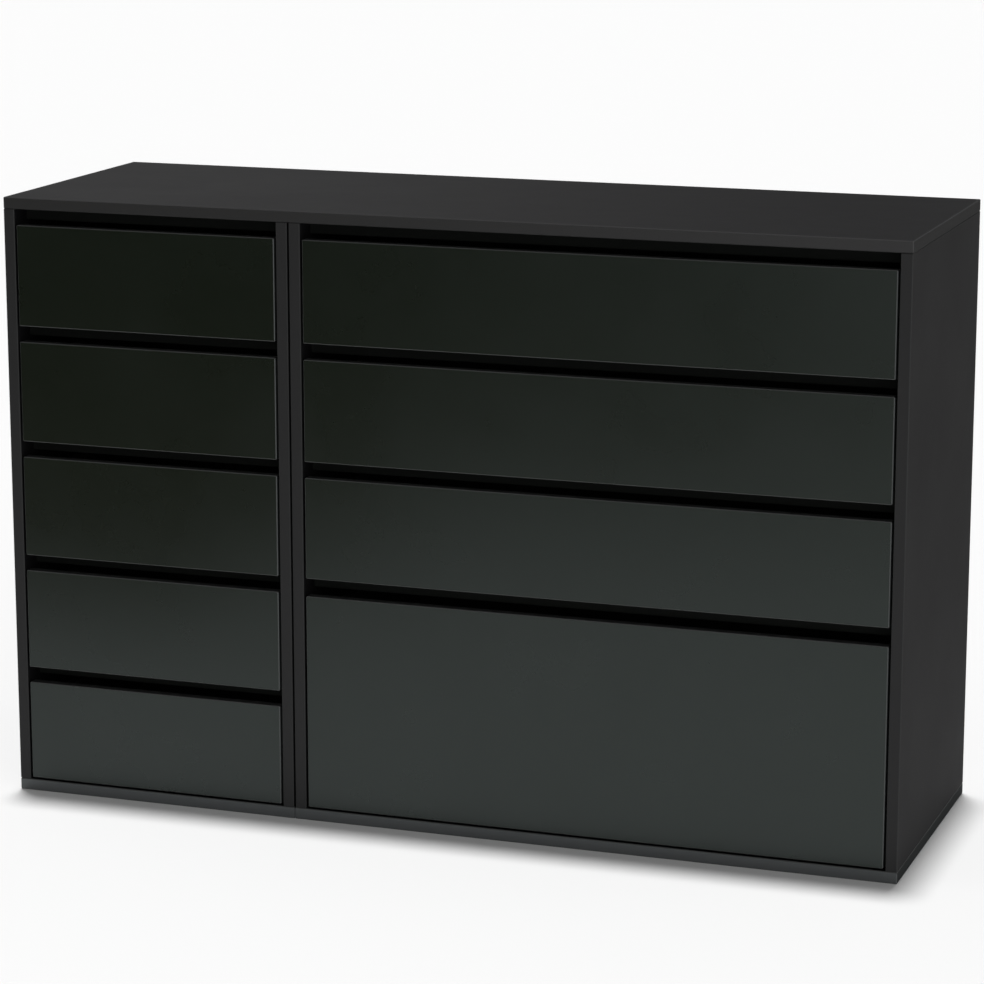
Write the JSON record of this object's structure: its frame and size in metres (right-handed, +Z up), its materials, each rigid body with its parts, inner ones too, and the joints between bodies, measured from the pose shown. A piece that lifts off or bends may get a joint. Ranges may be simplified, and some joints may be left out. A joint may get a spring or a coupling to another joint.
{
  "type": "storage chest",
  "caption": "Low black chest of flush, handleless drawers in a narrow and a wide bay under one long top, with finger gaps above the fronts.",
  "frame": {"origin": "on the floor under the middle of the chest", "axes": "+X across to the right seen from the front, +Y towards the back, +Z up"},
  "size_m": [1.2, 0.4, 0.8],
  "materials": {
    "black_melamine": "satin black melamine",
    "black_box_board": "matt black foil",
    "dark_hardboard": "matt dark hardboard",
    "slide_steel": "zinc plated",
    "fastener_steel": "zinc plated"
  },
  "bodies": {
    "cabinet": {"top_panel": "black_melamine", "left_bottom": "black_melamine", "right_bottom": "black_melamine", "left_outer_side": "black_melamine", "left_inner_side": "black_melamine", "right_inner_side": "black_melamine", "right_outer_side": "black_melamine", "left_back": "dark_hardboard", "right_back": "dark_hardboard", "left_front_rails": "black_melamine", "right_front_rails": "black_melamine", "cabinet_runners": "slide_steel", "runner_screws": "fastener_steel", "bay_connectors": "fastener_steel", "back_nails": "fastener_steel"},
    "left_drawer_1": {"left_drawer_1_front": "black_melamine", "left_drawer_1_sides": "black_box_board", "left_drawer_1_back": "black_box_board", "left_drawer_1_bottom": "dark_hardboard", "left_drawer_1_runners": "slide_steel"},
    "left_drawer_2": {"left_drawer_2_front": "black_melamine", "left_drawer_2_sides": "black_box_board", "left_drawer_2_back": "black_box_board", "left_drawer_2_bottom": "dark_hardboard", "left_drawer_2_runners": "slide_steel"},
    "left_drawer_3": {"left_drawer_3_front": "black_melamine", "left_drawer_3_sides": "black_box_board", "left_drawer_3_back": "black_box_board", "left_drawer_3_bottom": "dark_hardboard", "left_drawer_3_runners": "slide_steel"},
    "left_drawer_4": {"left_drawer_4_front": "black_melamine", "left_drawer_4_sides": "black_box_board", "left_drawer_4_back": "black_box_board", "left_drawer_4_bottom": "dark_hardboard", "left_drawer_4_runners": "slide_steel"},
    "left_drawer_5": {"left_drawer_5_front": "black_melamine", "left_drawer_5_sides": "black_box_board", "left_drawer_5_back": "black_box_board", "left_drawer_5_bottom": "dark_hardboard", "left_drawer_5_runners": "slide_steel"},
    "right_drawer_1": {"right_drawer_1_front": "black_melamine", "right_drawer_1_sides": "black_box_board", "right_drawer_1_back": "black_box_board", "right_drawer_1_bottom": "dark_hardboard", "right_drawer_1_runners": "slide_steel"},
    "right_drawer_2": {"right_drawer_2_front": "black_melamine", "right_drawer_2_sides": "black_box_board", "right_drawer_2_back": "black_box_board", "right_drawer_2_bottom": "dark_hardboard", "right_drawer_2_runners": "slide_steel"},
    "right_drawer_3": {"right_drawer_3_front": "black_melamine", "right_drawer_3_sides": "black_box_board", "right_drawer_3_back": "black_box_board", "right_drawer_3_bottom": "dark_hardboard", "right_drawer_3_runners": "slide_steel"},
    "right_drawer_4": {"right_drawer_4_front": "black_melamine", "right_drawer_4_sides": "black_box_board", "right_drawer_4_back": "black_box_board", "right_drawer_4_bottom": "dark_hardboard", "right_drawer_4_runners": "slide_steel"}
  },
  "joints": [
    {"name": "left_drawer_1_slide", "type": "slide", "parent": "cabinet", "child": "left_drawer_1", "axis": [0, -1, 0], "range_m": [0, 0.26]},
    {"name": "left_drawer_2_slide", "type": "slide", "parent": "cabinet", "child": "left_drawer_2", "axis": [0, -1, 0], "range_m": [0, 0.26]},
    {"name": "left_drawer_3_slide", "type": "slide", "parent": "cabinet", "child": "left_drawer_3", "axis": [0, -1, 0], "range_m": [0, 0.26]},
    {"name": "left_drawer_4_slide", "type": "slide", "parent": "cabinet", "child": "left_drawer_4", "axis": [0, -1, 0], "range_m": [0, 0.26]},
    {"name": "left_drawer_5_slide", "type": "slide", "parent": "cabinet", "child": "left_drawer_5", "axis": [0, -1, 0], "range_m": [0, 0.26]},
    {"name": "right_drawer_1_slide", "type": "slide", "parent": "cabinet", "child": "right_drawer_1", "axis": [0, -1, 0], "range_m": [0, 0.26]},
    {"name": "right_drawer_2_slide", "type": "slide", "parent": "cabinet", "child": "right_drawer_2", "axis": [0, -1, 0], "range_m": [0, 0.26]},
    {"name": "right_drawer_3_slide", "type": "slide", "parent": "cabinet", "child": "right_drawer_3", "axis": [0, -1, 0], "range_m": [0, 0.26]},
    {"name": "right_drawer_4_slide", "type": "slide", "parent": "cabinet", "child": "right_drawer_4", "axis": [0, -1, 0], "range_m": [0, 0.26]}
  ]
}
